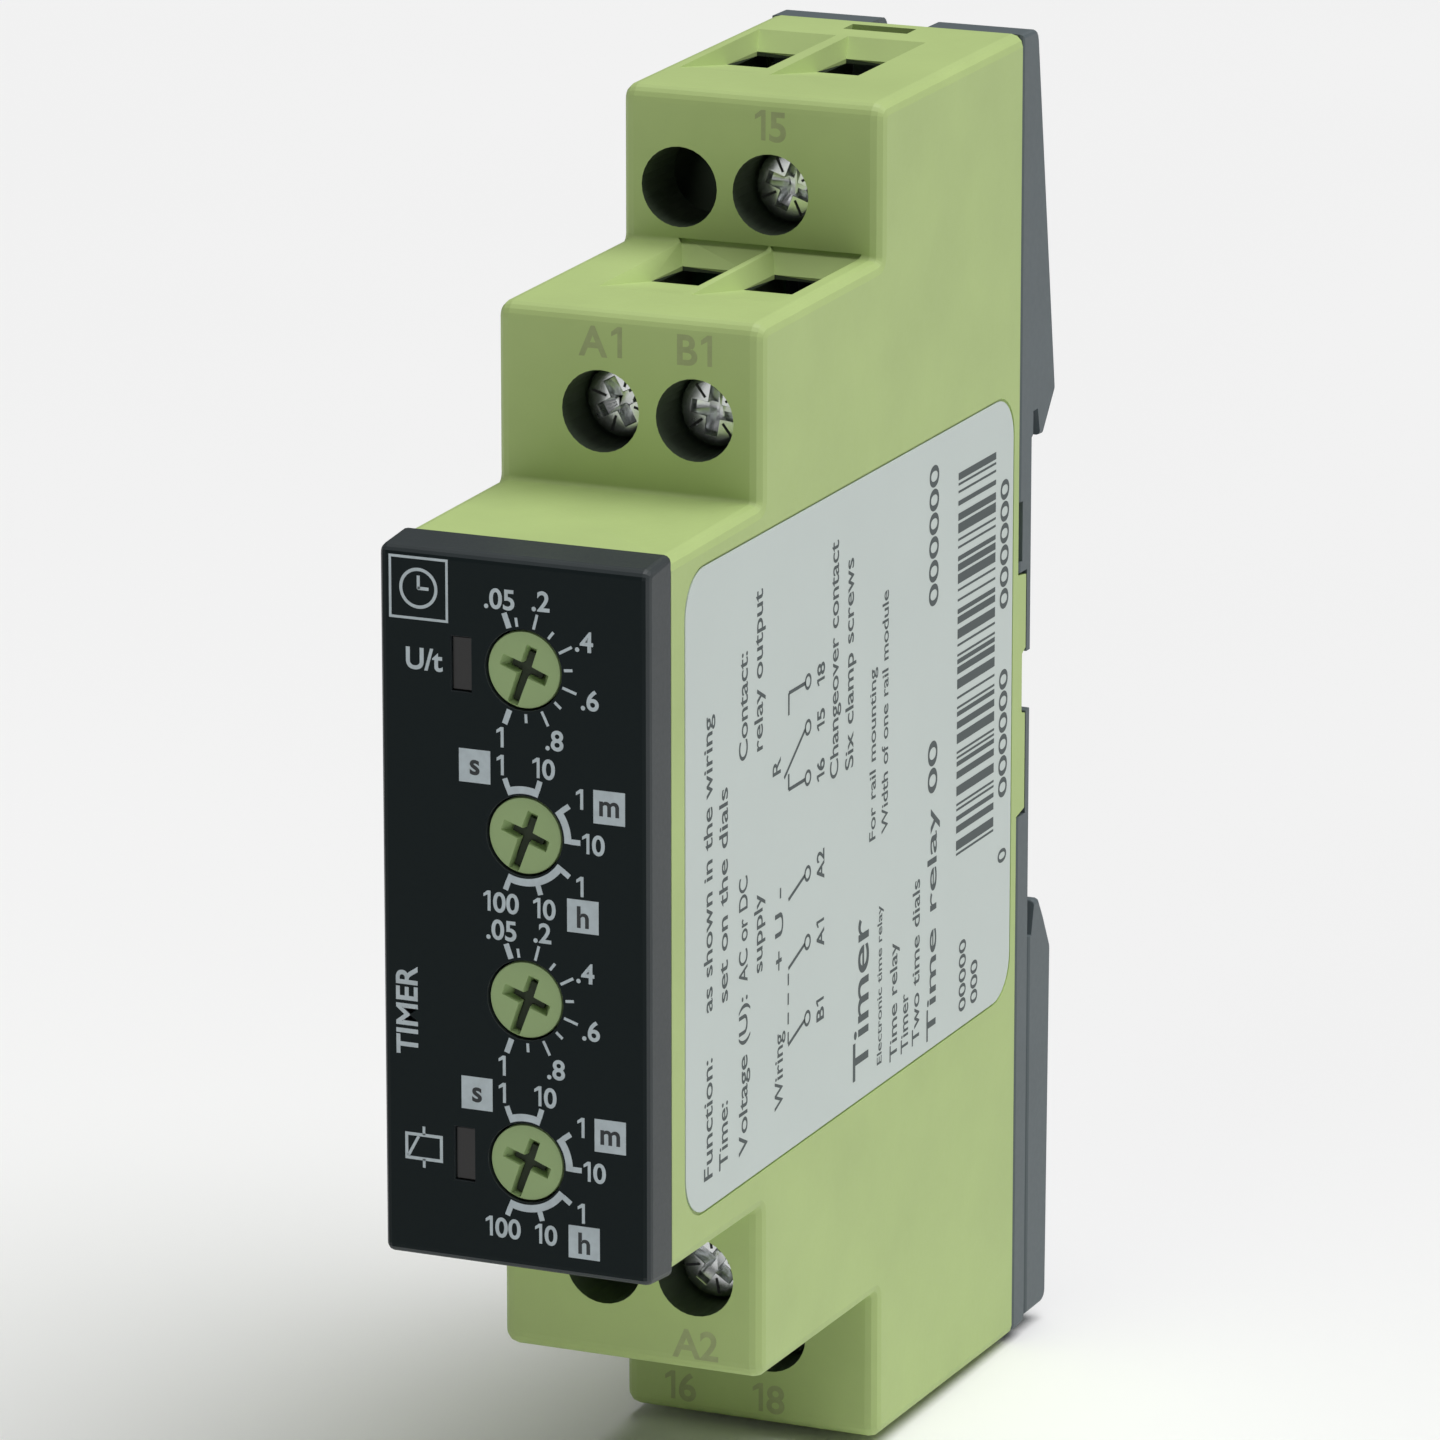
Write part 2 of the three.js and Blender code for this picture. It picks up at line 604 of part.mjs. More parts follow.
function makeMainBoard() {
  const points = [
    [8.3, -19.0], [36.9, -19.0], [36.9, -31.2], [55.2, -31.2], [55.2, 31.2], [36.9, 31.2], [36.9, 19.0],
    [8.3, 19.0],
  ].map(([y, z]) => new THREE.Vector2(y, z));
  return prismX(points, MAIN_BOARD_X, BOARD_FACE_X);
}

function makeBoardHeader() {
  const x0 = BOARD_FACE_X + GAP;
  const body = box(x0, x0 + 2.5, 9.0, 11.5, -7.6, 7.6);
  const pins = [];
  for (let index = 0; index < 6; index += 1) {
    const z = 2.54 * (index - 2.5);
    pins.push(box(x0 + 0.9, x0 + 1.5, FRONT_BOARD_Y + BOARD_THICKNESS + GAP, 9.2, z - 0.3, z + 0.3));
  }
  return join([body, ...pins]);
}

function makeElectrolytic(y, z, radius, length) {
  const x0 = BOARD_FACE_X + GAP;
  const can = cylinderX(y, z, radius, x0, x0 + length, 24);
  const groove = cut(cylinderX(y, z, radius + 1, x0 + 1.2, x0 + 1.7, 24), [
    cylinderX(y, z, radius - 0.3, x0, x0 + 3, 24),
  ]);
  const vent = box(x0 + length - 0.2, x0 + length + 1, y - 0.2, y + 0.2, z - radius, z + radius);
  return cut(can, [groove, vent]);
}

function makeInductor() {
  const x0 = BOARD_FACE_X + GAP;
  return join([
    cylinderX(53.2, 22.0, 2.9, x0, x0 + 1.1, 16),
    cylinderX(53.2, 22.0, 2.3, x0 + 0.9, x0 + 6.2, 16),
    cylinderX(53.2, 22.0, 2.9, x0 + 6.0, x0 + 7.1, 16),
  ]);
}

function makeFilmCapacitor() {
  const x0 = BOARD_FACE_X + GAP;
  return prismX(rectangleOutline(19.5, 24.5, -8, 5, 0.5, 2), x0, x0 + 10.5);
}

function makeVaristor() {
  const x0 = BOARD_FACE_X + GAP;
  return join([
    cylinderY(x0 + 4.6, -21.5, 3.8, 51.6, 54.6, 20),
    box(x0, x0 + 3.0, 52.7, 53.3, -24.3, -23.7),
    box(x0, x0 + 3.0, 52.7, 53.3, -19.3, -18.7),
  ]);
}

function makeMicrocontroller() {
  const x0 = BOARD_FACE_X + GAP;
  const body = box(x0 + 0.2, x0 + 1.9, 30.6, 34.6, -4.6, 4.6);
  const leads = [];
  for (let index = 0; index < 7; index += 1) {
    const z = 1.27 * (index - 3);
    leads.push(box(x0, x0 + 0.7, 29.6, 35.6, z - 0.2, z + 0.2));
  }
  return join([body, ...leads]);
}

// ---- relay

function makeRelayBase() {
  const { y0, y1, z0, z1, x0 } = RELAY;
  return box(x0, x0 + 1.4, y0, y1, z0, z1);
}

function makeRelayCase() {
  const { y0, y1, z0, z1, x0, x1 } = RELAY;
  const floor = x0 + 1.4 + GAP;
  const thickness = 0.6;
  return cut(box(floor, x1, y0, y1, z0, z1), [
    box(floor - 1, x1 - thickness, y0 + thickness, y1 - thickness, z0 + thickness, z1 - thickness),
  ]);
}

const COIL_Y = 46.6;
const COIL_X0 = RELAY.x0 + 3.2;
const YOKE_X = RELAY.x0 + 1.4 + 0.2;

// Bobbin with its winding; the iron core runs through it
function makeRelayCoil() {
  const x = COIL_X0 + 2.9;
  const reel = (radius, z0, z1) => {
    const geometry = new THREE.CylinderGeometry(radius, radius, z1 - z0, 16);
    geometry.rotateX(Math.PI / 2);
    geometry.translate(x, COIL_Y, (z0 + z1) / 2);
    return toSolid(geometry);
  };
  return cut(join([reel(2.9, -11, -10), reel(2.3, -10.2, 3.2), reel(2.9, 3, 4)]), [reel(1.15, -12, 5)]);
}

// Iron circuit: core through the coil and the bent yoke beside it
function makeRelayYoke() {
  const x = COIL_X0 + 2.9;
  const geometry = new THREE.CylinderGeometry(1.0, 1.0, 16.6, 12);
  geometry.rotateX(Math.PI / 2);
  geometry.translate(x, COIL_Y, -3.6);
  return join([
    toSolid(geometry),
    box(YOKE_X, x + 1.5, COIL_Y - 2.4, COIL_Y + 2.4, -12.6, -11.4),
    box(YOKE_X, YOKE_X + 1.0, COIL_Y - 2.4, COIL_Y + 2.4, -12.6, 4.4),
  ]);
}

// Hinged iron plate in front of the core's pole, with the plastic card that pushes the contact spring
function makeRelayArmature() {
  return join([
    box(YOKE_X + 0.1, YOKE_X + 6.8, COIL_Y - 2.3, COIL_Y + 2.3, 5.1, 6.1),
    box(YOKE_X + 5.0, YOKE_X + 6.0, COIL_Y - 1.2, COIL_Y + 1.2, 5.9, 8.2),
  ]);
}

// Moving contact spring, with a contact rivet on both faces of its end
function makeMovingContact() {
  const pad = (z0, z1) => {
    const geometry = new THREE.CylinderGeometry(0.8, 0.8, z1 - z0, 10);
    geometry.rotateX(Math.PI / 2);
    geometry.translate(YOKE_X + 8.0, COIL_Y, (z0 + z1) / 2);
    return toSolid(geometry);
  };
  return join([
    box(YOKE_X + 1.4, YOKE_X + 9.0, COIL_Y - 1.6, COIL_Y + 1.6, 8.4, 8.7),
    pad(7.9, 9.2),
  ]);
}

function makeFixedContact(z0, z1, padZ0, padZ1) {
  const geometry = new THREE.CylinderGeometry(0.8, 0.8, padZ1 - padZ0, 10);
  geometry.rotateX(Math.PI / 2);
  geometry.translate(YOKE_X + 8.0, COIL_Y, (padZ0 + padZ1) / 2);
  const offset = 3.4;
  return join([
    box(YOKE_X, YOKE_X + 9.0, COIL_Y + 2.6, COIL_Y + offset, z0, z1),
    box(YOKE_X + 7.0, YOKE_X + 9.0, COIL_Y - 1.6, COIL_Y + offset, z0, z1),
    toSolid(geometry),
  ]);
}

// ---- assembly

function node(name, shape, look) {
  const geometry = shape.isBufferGeometry ? shape : toGeometry(shape);
  const material = new THREE.MeshStandardMaterial({ ...look, flatShading: true });
  const mesh = new THREE.Mesh(geometry, material);
  mesh.name = name;
  return mesh;
}

function makeCase() {
  return [
    node('housing', makeHousing(), GREEN),
    node('base', makeBase(), GREY),
    node('front_cover', makeFrontCover(), BLACK),
    node('side_label', makeLabel(), LABEL_WHITE),
    node('rail_foot', makeRailFoot(), GREY),
    node('foot_spring', makeFootSpring(), STEEL),
  ];
}

function makeDials() {
  const dials = [];
  for (let index = 0; index < DIAL_COUNT; index += 1) {
    dials.push(node(`knob_${index + 1}`, makeKnob(dialZ(index)), LIME));
    dials.push(node(`trimmer_${index + 1}`, makeTrimmer(dialZ(index)), BLUE_PART));
  }
  return dials;
}

function makeTerminals() {
  return TERMINALS.flatMap((terminal) => [
    node(`screw_${terminal.name}`, makeScrew(terminal), ZINC),
    node(`cage_${terminal.name}`, makeCage(terminal), STEEL),
    node(`contact_bar_${terminal.name}`, makeContactBar(terminal), COPPER),
  ]);
}

function makeElectronics() {
  return [
    node('front_board', makeFrontBoard(), BOARD),
    node('main_board', makeMainBoard(), BOARD),
    node('board_header', makeBoardHeader(), DARK_PART),
    node('light_guide_supply', makeLightGuide(1), SMOKED),
    node('light_guide_relay', makeLightGuide(-1), SMOKED),
    node('led_supply', makeLed(1), LENS_GREEN),
    node('led_relay', makeLed(-1), LENS_YELLOW),
    node('capacitor_1', makeElectrolytic(45.0, 22.0, 4.0, 11.0), ALUMINIUM),
    node('capacitor_2', makeElectrolytic(45.0, -22.0, 4.0, 11.0), ALUMINIUM),
    node('inductor', makeInductor(), DARK_PART),
    node('film_capacitor', makeFilmCapacitor(), CREAM_PART),
    node('varistor', makeVaristor(), BLUE_PART),
    node('microcontroller', makeMicrocontroller(), DARK_PART),
  ];
}

function makeRelay() {
  return [
    node('relay_base', makeRelayBase(), DARK_PART),
    node('relay_case', makeRelayCase(), DARK_PART),
    node('relay_coil', makeRelayCoil(), COPPER),
    node('relay_yoke', makeRelayYoke(), STEEL),
    node('relay_armature', makeRelayArmature(), STEEL),
    node('relay_moving_contact', makeMovingContact(), COPPER),
    node('relay_contact_closed', makeFixedContact(10.2, 10.6, 9.3, 10.3), TIN),
    node('relay_contact_open', makeFixedContact(6.4, 6.8, 6.7, 7.15), TIN),
  ];
}

const timer = new THREE.Group();
timer.add(...makeCase(), ...makeDials(), ...makeTerminals(), ...makeElectronics(), ...makeRelay());
timer.position.set(0, -SEAT_PLANE, -RAIL_CENTRE_Z);

export default timer;
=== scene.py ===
"""Looks for a stepped DIN rail timer: moulded green case, black dial panel, zinc screws, printed label."""

import json
import math

import bmesh
import bpy
from mathutils import Matrix, Vector


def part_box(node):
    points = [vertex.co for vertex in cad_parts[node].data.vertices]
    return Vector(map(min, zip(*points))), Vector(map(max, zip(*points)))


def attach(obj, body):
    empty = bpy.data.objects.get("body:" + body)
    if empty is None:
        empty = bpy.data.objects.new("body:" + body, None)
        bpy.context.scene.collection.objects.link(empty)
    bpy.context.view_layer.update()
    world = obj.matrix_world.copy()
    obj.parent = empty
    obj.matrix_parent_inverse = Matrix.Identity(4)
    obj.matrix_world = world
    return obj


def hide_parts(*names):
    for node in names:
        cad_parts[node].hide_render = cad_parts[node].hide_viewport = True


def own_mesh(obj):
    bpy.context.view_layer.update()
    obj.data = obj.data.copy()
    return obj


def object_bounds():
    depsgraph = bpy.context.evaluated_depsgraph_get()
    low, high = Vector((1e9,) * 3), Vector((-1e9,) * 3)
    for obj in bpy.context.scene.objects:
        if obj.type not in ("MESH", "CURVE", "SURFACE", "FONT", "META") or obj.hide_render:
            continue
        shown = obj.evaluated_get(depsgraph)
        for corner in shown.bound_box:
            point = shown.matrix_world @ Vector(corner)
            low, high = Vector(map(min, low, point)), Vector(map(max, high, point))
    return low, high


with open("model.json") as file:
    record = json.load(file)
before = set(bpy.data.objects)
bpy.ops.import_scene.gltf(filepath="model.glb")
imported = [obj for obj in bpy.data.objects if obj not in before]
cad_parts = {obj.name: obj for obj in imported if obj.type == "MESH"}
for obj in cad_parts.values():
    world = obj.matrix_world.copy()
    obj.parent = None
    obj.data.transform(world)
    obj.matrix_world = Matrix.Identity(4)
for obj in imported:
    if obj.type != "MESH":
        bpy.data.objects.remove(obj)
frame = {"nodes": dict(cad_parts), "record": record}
CAD_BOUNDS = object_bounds()
NODES = frame["nodes"]
MM = 0.001

# Driving sizes, in millimetres and degrees clockwise from straight up
KNOB_RADIUS = 2.36
KNOB_THICKNESS = 1.6
KNOB_STEM_RADIUS = 1.3
KNOB_TURN = 220
POINTER = 200
SLOT_DEPTH = 0.9
KNOB_SLOT_HALF = 0.34
KNOB_POINTER_REACH = 2.27
KNOB_ARM_REACH = 1.5
KNOB_DEEP_REACH = 1.05
KNOB_SLOT_TAPER = 0.75
KNOB_SLOT_EDGE = 0.07
KNOB_EDGE = 0.10
HEAD_RADIUS = 2.3
HEAD_LENGTH = 1.8
HEAD_EDGES = ((1.80, 0.02), (2.05, 0.07), (2.20, 0.17), (HEAD_RADIUS, 0.36))
RECESS_DEPTH = 0.85
RECESS_POINT = 1.15
RECESS_EDGE = 0.06
RECESS_HALF = 0.42
RECESS_REACH = 1.5
NOTCH_START = 0.95
NOTCH_END = 1.95
NOTCH_WIDTH = 0.16
THREAD_RADIUS = 1.45
THREAD_PITCH = 0.5
THREAD_DEPTH = 0.25
SPRING_TURNS = 5
SPRING_WIRE = 0.2
SCREW_TURNS = {"15": 20, "a1": 62, "b1": 8, "a2": 35, "16": 50, "18": 75}
DIGIT = 1.25
UNIT_BOX = 2.05
CAP_SHARE = 0.73
LETTER_GAP = 0.13
SPACE = 0.30

# How far print stands off its surface, in metres
PRINT_LIFT = 0.006 * MM

# The floor's half width and its drop below the object, in metres
FLOOR_HALF = 4
FLOOR_DROP = 0.0005

WORLD_LIGHT = 0.10
SUN_LIGHT = 3.0

# The camera's place about its target: degrees, metres and millimetres
CAMERA_AZIMUTH = 23.551
CAMERA_ELEVATION = 15.150
CAMERA_DISTANCE = 0.5588
CAMERA_TARGET = (0.218, -31.0, 3.927)
CAMERA_LENS = 224.6
CAMERA_SENSOR = 36.0

LOW, HIGH = (Vector(corner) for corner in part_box("front_cover"))
PANEL_Y = LOW.y
PANEL_Z = (LOW.z + HIGH.z) / 2
CAD_FRONT = CAD_BOUNDS[0][1]
CAD_MIDDLE = -0.8 * MM


# ---- materials

class Nodes:
    """Short names for building one material's node tree."""

    def __init__(self, name):
        self.material = bpy.data.materials.new(name)
        self.material.use_nodes = True
        self.tree = self.material.node_tree
        self.shader = self.tree.nodes["Principled BSDF"]
        self.place = self.tree.nodes.new("ShaderNodeTexCoord").outputs["Object"]

    def add(self, kind, **sockets):
        node = self.tree.nodes.new(kind)
        for name, value in sockets.items():
            node.inputs[name.replace("_", " ")].default_value = value
        return node

    def link(self, output, target):
        self.tree.links.new(output, target)

    def noise(self, scale, detail=4.0, stretch=None):
        node = self.add("ShaderNodeTexNoise", Scale=scale, Detail=detail, Roughness=0.55)
        place = self.place
        if stretch is not None:
            mapping = self.add("ShaderNodeMapping", Scale=stretch)
            self.link(place, mapping.inputs["Vector"])
            place = mapping.outputs["Vector"]
        self.link(place, node.inputs["Vector"])
        return node.outputs["Fac"]

    def ramp(self, factor, stops):
        node = self.tree.nodes.new("ShaderNodeValToRGB")
        elements = node.color_ramp.elements
        for element, (position, colour) in zip(elements, (stops[0], stops[-1])):
            element.position = position
            element.color = (*colour, 1)
        for position, colour in stops[1:-1]:
            elements.new(position).color = (*colour, 1)
        self.link(factor, node.inputs["Fac"])
        return node.outputs["Color"]

    def spread(self, factor, low, high):
        node = self.add("ShaderNodeMapRange", To_Min=low, To_Max=high)
        self.link(factor, node.inputs["Value"])
        return node.outputs["Result"]

    def bump(self, height, strength, distance):
        node = self.add("ShaderNodeBump", Strength=strength, Distance=distance)
        self.link(height, node.inputs["Height"])
        self.link(node.outputs["Normal"], self.shader.inputs["Normal"])


def shades(colour, spread):
    """A darker and a lighter shade of one colour."""
    return tuple(tuple(channel * factor for channel in colour) for factor in (1 - spread, 1 + spread))


def moulded(name, colour, roughness=0.5, grain=2600.0, spread=0.05, depth=0.00002):
    """Moulded plastic: fine grain, slow colour drift, and gloss that varies with the grain."""
    nodes = Nodes(name)
    dark, light = shades(colour, spread)
    drift = nodes.noise(120.0, 3.0)
    nodes.link(nodes.ramp(drift, [(0.25, dark), (0.75, light)]), nodes.shader.inputs["Base Color"])
    fine = nodes.noise(grain, 2.0)
    nodes.link(nodes.spread(fine, roughness - 0.06, roughness + 0.08), nodes.shader.inputs["Roughness"])
    nodes.bump(fine, 0.25, depth)
    nodes.shader.inputs["Specular IOR Level"].default_value = 0.45
    return nodes.material


def cover_with_painted_front_shade(name):
    """Black cover: satin moulded sides, and a matt printed face where it faces the front, whose darker colour
    there is painted shade.
    """
    nodes = Nodes(name)
    tree = nodes.tree
    facing = nodes.add("ShaderNodeSeparateXYZ")
    nodes.link(tree.nodes.new("ShaderNodeNewGeometry").outputs["True Normal"], facing.inputs["Vector"])
    # Mask of the faces that face the front: it lowers the gloss there and darkens the colour as painted shade
    printed = nodes.add("ShaderNodeMapRange", From_Min=-0.90, From_Max=-0.97)
    nodes.link(facing.outputs["Y"], printed.inputs["Value"])
    face = printed.outputs["Result"]
    stops = [(0.25, (0.026, 0.034, 0.037)), (0.75, (0.034, 0.043, 0.046))]
    drift = nodes.ramp(nodes.noise(160.0, 3.0), stops)
    # Near-black on the front-facing faces: painted shade
    mix = nodes.add("ShaderNodeMixRGB", Color2=(0.008, 0.014, 0.015, 1))
    nodes.link(face, mix.inputs["Fac"])
    nodes.link(drift, mix.inputs["Color1"])
    nodes.link(mix.outputs["Color"], nodes.shader.inputs["Base Color"])
    nodes.link(nodes.spread(face, 0.45, 0.10), nodes.shader.inputs["Specular IOR Level"])
    fine = nodes.noise(3200.0, 2.0)
    nodes.link(nodes.spread(fine, 0.42, 0.54), nodes.shader.inputs["Roughness"])
    nodes.bump(fine, 0.2, 0.00002)
    return nodes.material


def metal(name, colour, roughness=0.32, stretch=(1, 1, 1), scale=900.0):
    """Plated or drawn metal with fine streaks along one direction."""
    nodes = Nodes(name)
    dark, light = shades(colour, 0.12)
    streaks = nodes.noise(scale, 5.0, stretch)
    nodes.link(nodes.ramp(streaks, [(0.3, dark), (0.7, light)]), nodes.shader.inputs["Base Color"])
    nodes.link(nodes.spread(streaks, roughness - 0.08, roughness + 0.12), nodes.shader.inputs["Roughness"])
    nodes.bump(streaks, 0.15, 0.00001)
    nodes.shader.inputs["Metallic"].default_value = 1.0
    return nodes.material


def clear(name, colour, roughness=0.14, coat=0.4):
    """Smoked or tinted clear plastic, with faint flow marks."""
    nodes = Nodes(name)
    dark, light = shades(colour, 0.15)
    flow = nodes.noise(300.0, 2.0)
    nodes.link(nodes.ramp(flow, [(0.3, dark), (0.7, light)]), nodes.shader.inputs["Base Color"])
    nodes.link(nodes.spread(flow, roughness, roughness + 0.1), nodes.shader.inputs["Roughness"])
    nodes.shader.inputs["Coat Weight"].default_value = coat
    return nodes.material


def print_ink(name, colour, roughness=0.5):
    """Pad-printed ink: slightly uneven cover over its base."""
    nodes = Nodes(name)
    dark, light = shades(colour, 0.08)
    cover = nodes.noise(1500.0, 3.0)
    nodes.link(nodes.ramp(cover, [(0.3, dark), (0.7, light)]), nodes.shader.inputs["Base Color"])
    nodes.link(nodes.spread(cover, roughness - 0.05, roughness + 0.05), nodes.shader.inputs["Roughness"])
    return nodes.material


MAKERS = {
    "case_green": lambda: moulded("case_green", (0.46, 0.59, 0.225), 0.52),
    "foot_grey": lambda: moulded("foot_grey", (0.10, 0.125, 0.135), 0.52, 2200.0),
    "cover_black": lambda: cover_with_painted_front_shade("cover_black"),
    "label_film": lambda: moulded("label_film", (0.60, 0.67, 0.64), 0.42, 4000.0, 0.015, 0.000004),
    "knob_lime": lambda: moulded("knob_lime", (0.33, 0.46, 0.20), 0.46, 3000.0),
    "light_guide": lambda: clear("light_guide", (0.006, 0.005, 0.005), 0.3, 0.05),
    "screw_zinc": lambda: metal("screw_zinc", (0.74, 0.76, 0.76), 0.22, (1, 1, 1), 1400.0),
    "clamp_steel": lambda: metal("clamp_steel", (0.44, 0.46, 0.46), 0.36, (1, 0.2, 1)),
    "spring_steel": lambda: metal("spring_steel", (0.35, 0.36, 0.37), 0.30),
    "contact_brass": lambda: metal("contact_brass", (0.70, 0.52, 0.28), 0.30, (1, 1, 0.15)),
    "board_green": lambda: moulded("board_green", (0.03, 0.14, 0.06), 0.40, 1800.0),
    "part_blue": lambda: moulded("part_blue", (0.04, 0.12, 0.30), 0.42),
    "part_black": lambda: moulded("part_black", (0.020, 0.021, 0.023), 0.55),
    "capacitor_can": lambda: metal("capacitor_can", (0.60, 0.62, 0.63), 0.34, (0.2, 1, 1)),
    "capacitor_cream": lambda: moulded("capacitor_cream", (0.66, 0.62, 0.50), 0.50),
    "led_green": lambda: clear("led_green", (0.14, 0.60, 0.20)),
    "led_yellow": lambda: clear("led_yellow", (0.80, 0.55, 0.07)),
    "coil_copper": lambda: metal("coil_copper", (0.62, 0.30, 0.12), 0.34, (1, 1, 8.0), 1600.0),
    "iron_steel": lambda: metal("iron_steel", (0.32, 0.33, 0.33), 0.38),
}
LOOKS = {name: make() for name, make in MAKERS.items()}
WHITE_INK = print_ink("white_ink", (0.52, 0.60, 0.63))
TERMINAL_INK = print_ink("terminal_ink", (0.36, 0.42, 0.19), 0.55)
# Near-black green for the insides of the screw holes and clamp pockets of the green housing: painted shade
PAINTED_BORE_SHADE = moulded("painted_bore_shade", (0.070, 0.095, 0.060), 0.6)
LABEL_INK = print_ink("label_ink", (0.045, 0.065, 0.065), 0.5)
PANEL_INK = print_ink("panel_ink", (0.012, 0.017, 0.020), 0.45)
# Near-black for the bottom of the lime knobs' slots: painted shade
KNOB_SLOT_SHADE = moulded("knob_slot_painted_shade", (0.030, 0.042, 0.022), 0.7)
# Near-black for the radial notches on the zinc screw heads: painted shade
SCREW_NOTCH_SHADE = moulded("screw_notch_painted_shade", (0.02, 0.021, 0.022), 0.6)


# ---- CAD nodes keep their shape and get their looks and softened edges

SOFT_EDGES = {"housing": 0.20, "base": 0.12, "rail_foot": 0.15, "front_cover": 0.12, "side_label": 0.01}
SOFT_EDGE = 0.05


def dress_cad_nodes():
    for entry in frame["record"]["subparts"]:
        node = NODES[entry["node"]]
        node.data.materials.clear()
        node.data.materials.append(LOOKS[entry["material_slot"]])
        weld = node.modifiers.new("weld", "WELD")
        weld.merge_threshold = 1e-6
        bevel = node.modifiers.new("edges", "BEVEL")
        bevel.width = SOFT_EDGES.get(entry["node"], SOFT_EDGE) * MM
        bevel.segments = 2
        bevel.limit_method = "ANGLE"
        bevel.angle_limit = math.radians(40)
        bevel.use_clamp_overlap = True


# Clamp pockets behind the screw holes, in millimetres from the middle of the front face:
# hole places, front plane, inner and outer end
POCKETS = (((-1.85, 4.35), 16.7, 20.5, 32.1), ((-4.85, 1.3), 35.3, 31.5, 42.1))
POCKET_HALF = 2.8
POCKET_DEPTH = 20.2
POCKET_START = 0.3
POCKET_MARGIN = 0.1


def in_pocket(x, y, z):
    """True for a point in a screw hole or in the clamp pocket behind it."""
    for places, front, inner, outer in POCKETS:
        deep = front + POCKET_START < y < front + POCKET_DEPTH
        level = inner - POCKET_MARGIN < abs(z) < outer + POCKET_MARGIN
        if deep and level and any(abs(x - place) < POCKET_HALF for place in places):
            return True
    return False


def shade_pockets():
    """Paints shade onto the housing's faces inside the screw holes and clamp pockets with a near-black green
    material.
    """
    housing = NODES["housing"]
    housing.data.materials.append(PAINTED_BORE_SHADE)
    for face in housing.data.polygons:
        centre = (housing.matrix_world @ face.center - Vector((0, CAD_FRONT, CAD_MIDDLE))) / MM
        if in_pocket(*centre):
            face.material_index = 1


# ---- mesh helpers

def place_mesh(name, builder, material, body, smooth_below=35):
    """Turns a bmesh into a piece that rides on a body, smooth except at edges sharper than an angle."""
    mesh = bpy.data.meshes.new(name)
    builder.normal_update()
    builder.to_mesh(mesh)
    builder.free()
    mesh.shade_smooth()
    mesh.set_sharp_from_angle(angle=math.radians(smooth_below))
    mesh.materials.append(material)
    piece = bpy.data.objects.new(name, mesh)
    bpy.context.collection.objects.link(piece)
    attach(piece, body)
    return piece


def polar(angle, radius):
    """Offset at an angle clockwise from straight up."""
    turn = math.radians(angle)
    return radius * math.sin(turn), radius * math.cos(turn)


def node_axis(node):
    """x and z of the middle of a round CAD node, and the y of its front and rear, in millimetres."""
    low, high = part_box(node)
    middle = (low + high) / 2 / MM
    return middle.x, middle.z, low.y / MM, high.y / MM


def cross_radius(angle, half_width, reaches):
    """Distance from the middle to the edge of a four-armed slot, at an angle from its first arm."""
    arm = round(angle / 90) % 4
    off = math.radians(abs((angle + 45) % 90 - 45))
    tip = reaches[arm] / math.cos(off)
    side = half_width / max(math.sin(off), 1e-6)
    return min(tip, side)


def add_lathe(builder, x, z, loops, steps=192, first_angle=0.0):
    """Closed turned body about the Y axis from [radius or radius function, y] loops in millimetres."""
    rings = []
    for radius, y in loops:
        ring = []
        for step in range(steps):
            angle = 360 * step / steps
            reach = radius(angle) if callable(radius) else radius
            dx, dz = polar(angle + first_angle, reach)
            ring.append(builder.verts.new(((x + dx) * MM, y * MM, (z + dz) * MM)))
        rings.append(ring)
    for ring, after in zip(rings, rings[1:]):
        for step in range(steps):
            right = (step + 1) % steps
            builder.faces.new((ring[step], ring[right], after[right], after[step]))
    for ring in (list(reversed(rings[0])), rings[-1]):
        caps = builder.faces.new(ring)
        bmesh.ops.triangulate(builder, faces=[caps])
    bmesh.ops.recalc_face_normals(builder, faces=builder.faces)


# ---- dial knobs, screws and foot spring in full detail

def make_knob(index):
    """Turned knob with a four-armed slot, one arm long as the pointer, and a near-black disc at the slot
    floor as painted shade.
    """
    node = f"knob_{index}"
    x, z, front, rear = node_axis(node)
    floor = front + SLOT_DEPTH

    reaches = (KNOB_POINTER_REACH,) + 3 * (KNOB_ARM_REACH,)
    deep_reaches = (KNOB_POINTER_REACH - 0.06,) + 3 * (KNOB_DEEP_REACH,)

    def slot(angle):
        return cross_radius(angle, KNOB_SLOT_HALF, reaches)

    def deep_slot(angle):
        return cross_radius(angle, KNOB_SLOT_HALF * KNOB_SLOT_TAPER, deep_reaches)

    def floor_slot(angle):
        return deep_slot(angle) * 0.98

    def wide_slot(angle):
        return min(slot(angle) + KNOB_SLOT_EDGE, KNOB_RADIUS - KNOB_SLOT_EDGE)

    builder = bmesh.new()
    add_lathe(builder, x, z, [
        (deep_slot, floor), (slot, front + 0.12), (wide_slot, front), (KNOB_RADIUS - 0.05, front + 0.01),
        (KNOB_RADIUS, front + KNOB_EDGE), (KNOB_RADIUS, front + KNOB_THICKNESS),
        (KNOB_STEM_RADIUS, front + KNOB_THICKNESS), (KNOB_STEM_RADIUS, rear),
    ], first_angle=POINTER)
    knob = place_mesh(f"{node}_body", builder, LOOKS["knob_lime"], f"dial_{index}")
    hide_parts(node)
    # Near-black disc at the bottom of the slot: painted shade
    builder = bmesh.new()
    add_lathe(builder, x, z, [(floor_slot, floor - 0.35), (floor_slot, floor - 0.02)], first_angle=POINTER)
    place_mesh(f"{node}_slot_floor_shade", builder, KNOB_SLOT_SHADE, f"dial_{index}")


